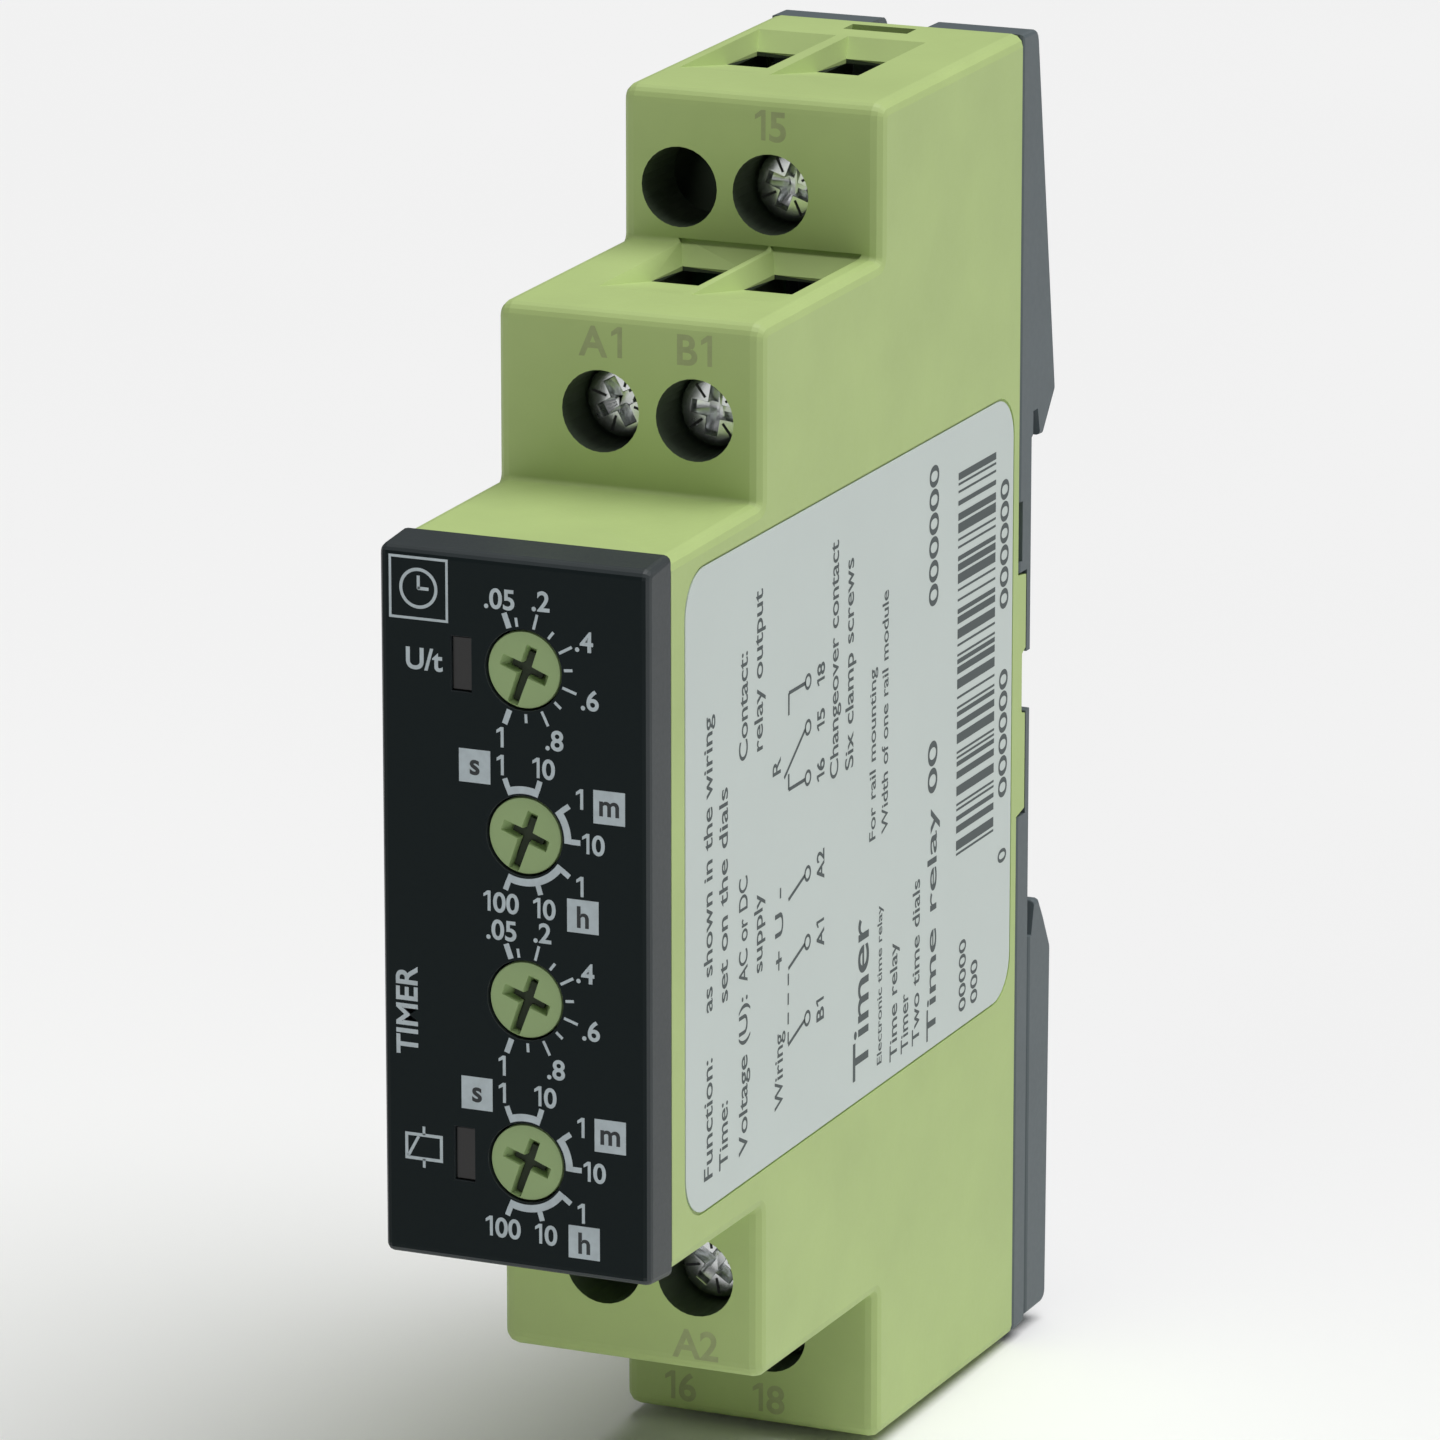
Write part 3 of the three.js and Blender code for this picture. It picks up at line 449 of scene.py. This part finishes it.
def make_screw(name):
    """Clamp screw: domed head with a cross recess and four radial notches, and a threaded shank; the notches
    are flat near-black strips of painted shade on the head's face, not cuts.
    """
    node = f"screw_{name}"
    x, z, front, rear = node_axis(node)
    back = front + HEAD_LENGTH

    def recess(angle):
        return cross_radius(angle, RECESS_HALF, 4 * (RECESS_REACH,))

    loops = [
        (lambda angle: recess(angle) * 0.55, front + RECESS_POINT),
        (recess, front + RECESS_DEPTH), (recess, front + RECESS_EDGE),
        (lambda angle: recess(angle) + RECESS_EDGE, front + 0.01),
    ]
    loops += [(radius, front + depth) for radius, depth in HEAD_EDGES]
    loops += [(HEAD_RADIUS, back), (THREAD_RADIUS, back)]
    y = back + 0.2
    while y < rear - THREAD_PITCH:
        loops += [(THREAD_RADIUS, y), (THREAD_RADIUS - THREAD_DEPTH, y + THREAD_PITCH / 2)]
        y += THREAD_PITCH
    loops += [(THREAD_RADIUS - 0.1, rear - 0.15), (THREAD_RADIUS - 0.4, rear)]
    turn = SCREW_TURNS[name]
    builder = bmesh.new()
    add_lathe(builder, x, z, loops, first_angle=turn)
    screw = place_mesh(f"{node}_body", builder, LOOKS["screw_zinc"], f"clamp_screw_{name}")
    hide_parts(node)
    # Radial notches: flat near-black strips just in front of the head, painted shade in place of cut grooves
    builder = bmesh.new()
    for arm in range(4):
        angle = turn + 45 + 90 * arm
        start, end = polar(angle, NOTCH_START), polar(angle, NOTCH_END)
        corners = strip((x + start[0], z + start[1]), (x + end[0], z + end[1]), NOTCH_WIDTH)
        builder.faces.new([builder.verts.new((cx * MM, (front - 0.01) * MM, cz * MM)) for cx, cz in corners])
    place_mesh(f"{node}_notches", builder, SCREW_NOTCH_SHADE, f"clamp_screw_{name}")


def add_tube(builder, path, radius, sides=10):
    """Closed round tube along a list of points."""
    rings = []
    for index, point in enumerate(path):
        along = (path[min(index + 1, len(path) - 1)] - path[max(index - 1, 0)]).normalized()
        across = along.cross(Vector((0, 0, 1))).normalized()
        up = across.cross(along)
        ring = []
        for side in range(sides):
            turn = 2 * math.pi * side / sides
            ring.append(builder.verts.new(point + (across * math.cos(turn) + up * math.sin(turn)) * radius))
        rings.append(ring)
    for ring, after in zip(rings, rings[1:]):
        for side in range(sides):
            right = (side + 1) % sides
            builder.faces.new((ring[side], ring[right], after[right], after[side]))
    builder.faces.new(list(reversed(rings[0])))
    builder.faces.new(rings[-1])
    bmesh.ops.recalc_face_normals(builder, faces=builder.faces)


def make_foot_spring():
    """Oval coil spring between the guide rib and the foot."""
    low, high = (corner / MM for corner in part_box("foot_spring"))
    wire = SPRING_WIRE
    middle = (low + high) / 2
    reach_x = (high.x - low.x) / 2 - wire
    reach_y = (high.y - low.y) / 2 - wire
    steps = SPRING_TURNS * 32
    path = []
    for step in range(steps + 1):
        share = step / steps
        turn = 2 * math.pi * SPRING_TURNS * share
        rise = low.z + wire + (high.z - low.z - 2 * wire) * share
        x = middle.x + reach_x * math.cos(turn)
        y = middle.y + reach_y * math.sin(turn)
        path.append(Vector((x, y, rise)) * MM)
    builder = bmesh.new()
    add_tube(builder, path, wire * MM)
    spring = place_mesh("foot_spring_coil", builder, LOOKS["spring_steel"], "case", 60)
    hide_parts("foot_spring")
    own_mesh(spring)


# ---- print: flat lettering and strokes in one plane

def strip(start, end, width):
    """Corner points of a straight stroke between two [u, v] points."""
    along = Vector((end[0] - start[0], end[1] - start[1])).normalized()
    side = Vector((-along.y, along.x)) * width / 2
    start, end = Vector(start), Vector(end)
    return [tuple(point) for point in (start - side, end - side, end + side, start + side)]


def copy_into(builder, other):
    """Adds one bmesh to another and frees it."""
    mesh = bpy.data.meshes.new("copied")
    other.to_mesh(mesh)
    other.free()
    builder.from_mesh(mesh)
    bpy.data.meshes.remove(mesh)


def add_letters(line, words, cursor, height, bold):
    """Letters of Blender's own font, from the cursor on; returns the place of the next letter."""
    curve = bpy.data.curves.new("letters", "FONT")
    curve.body = words
    curve.size = height / CAP_SHARE
    curve.offset = curve.size * bold
    holder = bpy.data.objects.new("letters", curve)
    mesh = bpy.data.meshes.new_from_object(holder)
    bpy.data.objects.remove(holder)
    bpy.data.curves.remove(curve)
    reach = [vert.co.x for vert in mesh.vertices]
    mesh.transform(Matrix.Translation((cursor - min(reach), 0, 0)))
    line.from_mesh(mesh)
    bpy.data.meshes.remove(mesh)
    return cursor + max(reach) - min(reach) + height * LETTER_GAP


def add_one(line, cursor, height, bold):
    """The digit 1 with a flag, which Blender's own font draws as a plain bar."""
    stem = height * (0.09 + 3 * bold)
    flag = height * 0.22
    left, right = cursor + flag, cursor + flag + stem
    for points in (((left, 0), (right, 0), (right, height), (left, height)),
                   ((cursor, height * 0.68), (left, height * 0.80), (left, height), (cursor, height * 0.83))):
        line.faces.new([line.verts.new((x, y, 0)) for x, y in points])
    return right + height * LETTER_GAP


class Print:
    """Flat ink shapes in a plane, given in millimetres as u to the right and v upwards."""

    def __init__(self, name, material, slot, to_row):
        self.name = name
        self.material = material
        self.slot = slot
        self.to_row = to_row
        self.builder = bmesh.new()

    def shape(self, points):
        self.builder.faces.new([self.builder.verts.new((u, v, 0)) for u, v in points])

    def stroke(self, start, end, width):
        self.shape(strip(start, end, width))

    def box(self, u0, v0, u1, v1):
        self.shape([(u0, v0), (u1, v0), (u1, v1), (u0, v1)])

    def frame(self, u0, v0, u1, v1, width):
        half = width / 2
        for start, end in (((u0 - half, v0), (u1 + half, v0)), ((u0 - half, v1), (u1 + half, v1)),
                           ((u0, v0 + half), (u0, v1 - half)), ((u1, v0 + half), (u1, v1 - half))):
            self.stroke(start, end, width)

    def arc(self, u, v, radius, from_angle, to_angle, width):
        """Round stroke; angles run clockwise from straight up."""
        steps = max(4, int(abs(to_angle - from_angle) / 4))
        angles = [from_angle + (to_angle - from_angle) * step / steps for step in range(steps + 1)]
        for low, high in zip(angles, angles[1:]):
            corners = [polar(low, radius - width / 2), polar(low, radius + width / 2),
                       polar(high, radius + width / 2), polar(high, radius - width / 2)]
            self.shape([(u + du, v + dv) for du, dv in corners])

    def text(self, words, u, v, height, span=None, turn=0.0, bold=0.022):
        """Lettering centred on (u, v), or fitted from u over a span, with v at half the letter height."""
        line = bmesh.new()
        cursor = 0.0
        for part in words.replace("1", "\n1\n").split("\n"):
            core = part.strip()
            before = len(part) - len(part.lstrip())
            cursor += height * SPACE * before
            if core == "1":
                cursor = add_one(line, cursor, height, bold)
            elif core:
                cursor = add_letters(line, core, cursor, height, bold)
            cursor += height * SPACE * (len(part) - before - len(core))
        width = cursor - height * LETTER_GAP
        stretch = span / width if span else 1.0
        left = 0.0 if span else -width / 2
        bmesh.ops.transform(line, verts=line.verts, matrix=(
            Matrix.Translation((u, v, 0)) @ Matrix.Rotation(math.radians(turn), 4, "Z")
            @ Matrix.Translation((left, -height / 2, 0)) @ Matrix.Diagonal((stretch, 1, 1, 1))
        ))
        copy_into(self.builder, line)

    def finish(self, body="case"):
        bmesh.ops.transform(self.builder, matrix=self.to_row, verts=self.builder.verts)
        return place_mesh(self.name, self.builder, self.material, body)


def plane(u_axis, v_axis, origin):
    """Matrix from print millimetres to the row frame, for a plane with the given directions."""
    normal = u_axis.cross(v_axis)
    turn = Matrix((u_axis, v_axis, normal)).transposed().to_4x4()
    return Matrix.Translation(origin) @ turn @ Matrix.Scale(MM, 4)


def front_plane(y, z, lift=PRINT_LIFT):
    """Plane that faces the front, u along X and v along Z, lifted off the surface at y."""
    return plane(Vector((1, 0, 0)), Vector((0, 0, 1)), Vector((0, y - lift, z)))


# ---- print on the dial panel

RANGE_NUMBERS = ("1", "10", "1", "10", "1", "10", "100")
RANGE_STEP = KNOB_TURN / (len(RANGE_NUMBERS) - 1)
RANGE_UNITS = (("s", -39, 5.1), ("m", 67, 6.0), ("h", 140, 5.9))
SCALE_VALUES = (0.05, 0.1, 0.2, 0.3, 0.4, 0.5, 0.6, 0.7, 0.8, 0.9, 1)
RANGE_ARCS = ((0, 1), (2, 3), (4, 6))
NUMBER_RADIUS = 4.5
TICK_START = 2.65
SHORT_TICK = 3.2
LONG_TICK = 3.6
TICK_WIDTH = 0.18
END_TICK_WIDTH = 0.36
RANGE_TICK = 3.65
RANGE_TICK_WIDTH = 0.34
ARC_RADIUS = 2.84
ARC_WIDTH = 0.46
ARC_OVER = 3


def print_scale(ink, x, z):
    """A tick for each scale value over the knob's turn, thick at both ends and long at every second one."""
    low, high = SCALE_VALUES[0], SCALE_VALUES[-1]
    for place, value in enumerate(SCALE_VALUES):
        angle = POINTER - KNOB_TURN * (high - value) / (high - low)
        at_end = value in (low, high)
        start = polar(angle, TICK_START)
        end = polar(angle, SHORT_TICK if place % 2 and not at_end else LONG_TICK)
        width = END_TICK_WIDTH if at_end else TICK_WIDTH
        ink.stroke((x + start[0], z + start[1]), (x + end[0], z + end[1]), width)
        if place % 2 == 0:
            dx, dz = polar(angle, NUMBER_RADIUS)
            ink.text(f"{value:g}".lstrip("0"), x + dx, z + dz, DIGIT)


def print_ranges(ink, dark, x, z):
    """Arcs for the seconds, minutes and hours ranges, with their end ticks, numbers and unit boxes."""
    angles = [POINTER - KNOB_TURN + RANGE_STEP * place for place in range(len(RANGE_NUMBERS))]
    for low, high in RANGE_ARCS:
        ink.arc(x, z, ARC_RADIUS, angles[low] - ARC_OVER, angles[high] + ARC_OVER, ARC_WIDTH)
    for angle, words in zip(angles, RANGE_NUMBERS):
        start, end = polar(angle, ARC_RADIUS + ARC_WIDTH / 2), polar(angle, RANGE_TICK)
        ink.stroke((x + start[0], z + start[1]), (x + end[0], z + end[1]), RANGE_TICK_WIDTH)
        dx, dz = polar(angle, NUMBER_RADIUS)
        ink.text(words, x + dx, z + dz, DIGIT)
    half = UNIT_BOX / 2
    for words, angle, radius in RANGE_UNITS:
        dx, dz = polar(angle, radius)
        ink.box(x + dx - half, z + dz - half, x + dx + half, z + dz + half)
        dark.text(words, x + dx, z + dz + (0.0 if words == "h" else 0.17), DIGIT + 0.1)


def print_clock(ink, u, v, half):
    """Generic clock face in a square frame."""
    ink.frame(u - half, v - half, u + half, v + half, 0.16)
    ink.arc(u, v, half * 0.62, 0, 360, 0.2)
    ink.stroke((u, v - 0.05), (u, v + half * 0.42), 0.2)
    ink.stroke((u - 0.05, v), (u + half * 0.36, v), 0.2)


def print_coil(ink, u, v):
    """Relay coil symbol: a box with a diagonal and two leads."""
    ink.frame(u - 1.15, v - 0.75, u + 1.15, v + 0.75, 0.2)
    ink.stroke((u - 1.05, v - 0.65), (u - 0.35, v + 0.65), 0.18)
    ink.stroke((u, v + 0.75), (u, v + 1.3), 0.18)
    ink.stroke((u, v - 1.3), (u, v - 0.75), 0.18)


def print_panel():
    ink = Print("panel_print", WHITE_INK, "cover_black", front_plane(PANEL_Y, PANEL_Z))
    dark = Print("panel_units", PANEL_INK, "cover_black", front_plane(PANEL_Y, PANEL_Z, 2 * PRINT_LIFT))
    for index in range(1, 5):
        x, z, *_ = node_axis(f"knob_{index}")
        z -= PANEL_Z / MM
        if index % 2:
            print_scale(ink, x, z)
        else:
            print_ranges(ink, dark, x, z)
    print_clock(ink, -6.15, 19.55, 1.85)
    ink.text("U/t", -5.8, 15.3, 1.35)
    ink.text("TIMER", -7.2, -6.6, 1.45, turn=90)
    print_coil(ink, -6.1, -15.1)
    ink.finish()
    dark.finish()


# ---- terminal numbers on the stepped faces, and the side label

MARK_OFFSET = 4.35
MARK_HEIGHT = 1.9
HEAD_START = 2.9


def print_terminals():
    """Terminal numbers on the stepped faces, on the outer side of each screw hole."""
    for name in SCREW_TURNS:
        x, z, front, _ = node_axis(f"screw_{name}")
        face = front_plane((front - HEAD_START) * MM, 0)
        ink = Print(f"terminal_print_{name}", TERMINAL_INK, "case_green", face)
        ink.text(name.upper(), x, z + math.copysign(MARK_OFFSET, z), MARK_HEIGHT)
        ink.finish()


NARROW, MEDIUM, WIDE = 0.62, 0.80, 0.95
LABEL_BLOCKS = (
    # start along the label, first line's distance from the front, line pitch, letter height,
    # width of a letter as a share of its height, lines
    (-17.8, 8.6, 2.3, 1.35, NARROW, ("Function:", "Time:")),
    (-7.3, 8.6, 2.3, 1.35, NARROW, ("as shown in the wiring", "set on the dials")),
    (-17.8, 13.9, 2.3, 1.35, NARROW, ("Voltage (U):",)),
    (-6.9, 13.9, 2.3, 1.35, NARROW, ("AC or DC", "supply")),
    (7.1, 13.9, 2.3, 1.35, NARROW, ("Contact:", "relay output")),
    (-16.5, 19.4, 2.3, 1.30, NARROW, ("Wiring",)),
    (-7.6, 19.4, 2.3, 1.30, MEDIUM, ("+ U -",)),
    (4.9, 19.0, 2.3, 1.30, MEDIUM, ("R",)),
    (2.4, 28.0, 2.4, 1.35, NARROW, ("Changeover contact", "Six clamp screws")),
    (-3.2, 34.2, 2.0, 1.05, NARROW, ("For rail mounting", "Width of one rail module")),
    (-18.2, 32.4, 2.6, 2.60, MEDIUM, ("Timer",)),
    (-18.2, 35.5, 2.0, 0.80, NARROW, ("Electronic time relay",)),
    (-18.6, 37.8, 1.85, 1.25, NARROW, ("Time relay", "Timer", "Two time dials")),
    (-19.0, 44.1, 2.0, 1.60, WIDE, ("Time relay 00",)),
    (9.6, 44.1, 2.0, 1.60, WIDE, ("000000",)),
    (-18.6, 49.4, 2.0, 1.20, MEDIUM, ("00000", "000")),
    (-10.4, 56.1, 2.0, 1.50, NARROW, ("0",)),
    (-6.0, 56.1, 2.0, 1.50, WIDE, ("000000",)),
    (6.6, 56.1, 2.0, 1.50, WIDE, ("000000",)),
)
SUPPLY_POINTS = (("B1", -11.9), ("A1", -7.0), ("A2", -2.6))
CONTACT_POINTS = (("16", 3.5), ("15", 6.7), ("18", 9.6))
POINT_RADIUS = 0.42
POINT_STUB = 0.4
WIRE_WIDTH = 0.24
FINE_WIDTH = 0.2
# Start and end along the label, bottom and top
BARS = (-7.9, 17.3, -54.6, -48.2)
BAR_STEP = 0.16


def print_wiring(ink):
    """Wiring symbols: three supply terminals with their stubs, and a changeover contact."""
    stub, row, numbers = -20.9, -23.9, -25.9
    for words, u in SUPPLY_POINTS + CONTACT_POINTS:
        ink.arc(u, row, POINT_RADIUS, 0, 360, FINE_WIDTH)
        ink.text(words, u, numbers, 1.2)
    for _, u in SUPPLY_POINTS:
        ink.stroke((u, row + POINT_STUB), (u - 0.9, stub), WIRE_WIDTH)
    for dash in range(4):
        start = SUPPLY_POINTS[0][1] - 0.8 + 1.25 * dash
        ink.stroke((start, stub), (start + 0.75, stub), FINE_WIDTH)
    left, middle, right = (u for _, u in CONTACT_POINTS)
    ink.stroke((left, row + POINT_STUB), (left, stub), WIRE_WIDTH)
    ink.stroke((left, stub), (left + 1.0, stub), WIRE_WIDTH)
    ink.stroke((right, row + POINT_STUB), (right, stub), WIRE_WIDTH)
    ink.stroke((right, stub), (right - 1.4, stub), WIRE_WIDTH)
    ink.stroke((middle, row + POINT_STUB), (left + 0.9, stub + 0.7), WIRE_WIDTH)


def print_bars(ink):
    """Plain bar pattern: widths follow a short repeating rule and hold no data."""
    u, end, bottom, top = BARS
    bar = 0
    while u < end:
        width = BAR_STEP + BAR_STEP * ((3 * bar + bar // 5) % 4)
        ink.box(u, bottom, min(u + width, end), top)
        u += width + 0.18 + BAR_STEP * ((5 * bar + bar // 3) % 3)
        bar += 1


def print_label():
    """Label print reads upwards, so u runs along Z and v runs towards the front."""
    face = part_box("side_label")[1].x + PRINT_LIFT
    to_row = plane(Vector((0, 0, 1)), Vector((0, -1, 0)), Vector((face, CAD_FRONT, CAD_MIDDLE)))
    ink = Print("label_print", LABEL_INK, "label_film", to_row)
    for start, depth, pitch, height, width, lines in LABEL_BLOCKS:
        for line, words in enumerate(lines):
            span = len(words) * height * width
            ink.text(words, start, -depth - pitch * line, height, span=span, bold=0.012)
    print_wiring(ink)
    print_bars(ink)
    ink.finish()


# ---- stage, light and camera

def make_stage():
    floor_mesh = bpy.data.meshes.new("floor")
    builder = bmesh.new()
    bottom = CAD_BOUNDS[0][2] - FLOOR_DROP
    half = FLOOR_HALF
    corners = [(-half, -half), (half, -half), (half, half), (-half, half)]
    builder.faces.new([builder.verts.new((x, y, bottom)) for x, y in corners])
    builder.to_mesh(floor_mesh)
    builder.free()
    floor = bpy.data.objects.new("floor", floor_mesh)
    bpy.context.collection.objects.link(floor)
    nodes = Nodes("pale_floor")
    tone = nodes.noise(6.0, 2.0)
    nodes.link(nodes.ramp(tone, [(0.3, (0.885, 0.885, 0.885)), (0.7, (0.90, 0.90, 0.90))]),
               nodes.shader.inputs["Base Color"])
    nodes.shader.inputs["Roughness"].default_value = 0.95
    nodes.shader.inputs["Specular IOR Level"].default_value = 0.1
    floor_mesh.materials.append(nodes.material)


def aim(light, direction):
    light.rotation_euler = Vector(direction).to_track_quat("-Z", "Y").to_euler()


def add_sun(name, towards, strength, softness):
    data = bpy.data.lights.new(name, "SUN")
    data.energy = strength
    data.angle = math.radians(softness)
    light = bpy.data.objects.new(name, data)
    bpy.context.collection.objects.link(light)
    aim(light, -Vector(towards))


def add_area(name, place, size, power):
    data = bpy.data.lights.new(name, "AREA")
    data.shape = "DISK"
    data.size = size
    data.energy = power
    light = bpy.data.objects.new(name, data)
    bpy.context.collection.objects.link(light)
    light.location = place
    aim(light, Vector((0, -0.03, 0)) - Vector(place))


def make_light():
    world = bpy.data.worlds.new("studio")
    bpy.context.scene.world = world
    world.use_nodes = True
    background = world.node_tree.nodes["Background"]
    background.inputs["Color"].default_value = (1, 1, 1, 1)
    background.inputs["Strength"].default_value = WORLD_LIGHT
    add_sun("key", (0.30, 0.14, 0.94), SUN_LIGHT, 55)
    add_area("front", (-0.05, -0.70, 0.22), 0.20, 0.15)


def make_camera():
    azimuth = math.radians(CAMERA_AZIMUTH)
    elevation = math.radians(CAMERA_ELEVATION)
    target = Vector(CAMERA_TARGET) * MM
    level = math.cos(elevation)
    back = Vector((math.sin(azimuth) * level, -math.cos(azimuth) * level, math.sin(elevation)))
    data = bpy.data.cameras.new("camera")
    data.lens = CAMERA_LENS
    data.sensor_width = CAMERA_SENSOR
    camera = bpy.data.objects.new("camera", data)
    bpy.context.collection.objects.link(camera)
    camera.location = target + back * CAMERA_DISTANCE
    camera.rotation_euler = (-back).to_track_quat("-Z", "Y").to_euler()
    bpy.context.scene.camera = camera
    bpy.context.scene.view_settings.view_transform = "Standard"


dress_cad_nodes()
shade_pockets()
for number in range(1, 5):
    make_knob(number)
for screw in SCREW_TURNS:
    make_screw(screw)
make_foot_spring()
print_panel()
print_terminals()
print_label()
make_stage()
make_light()
make_camera()
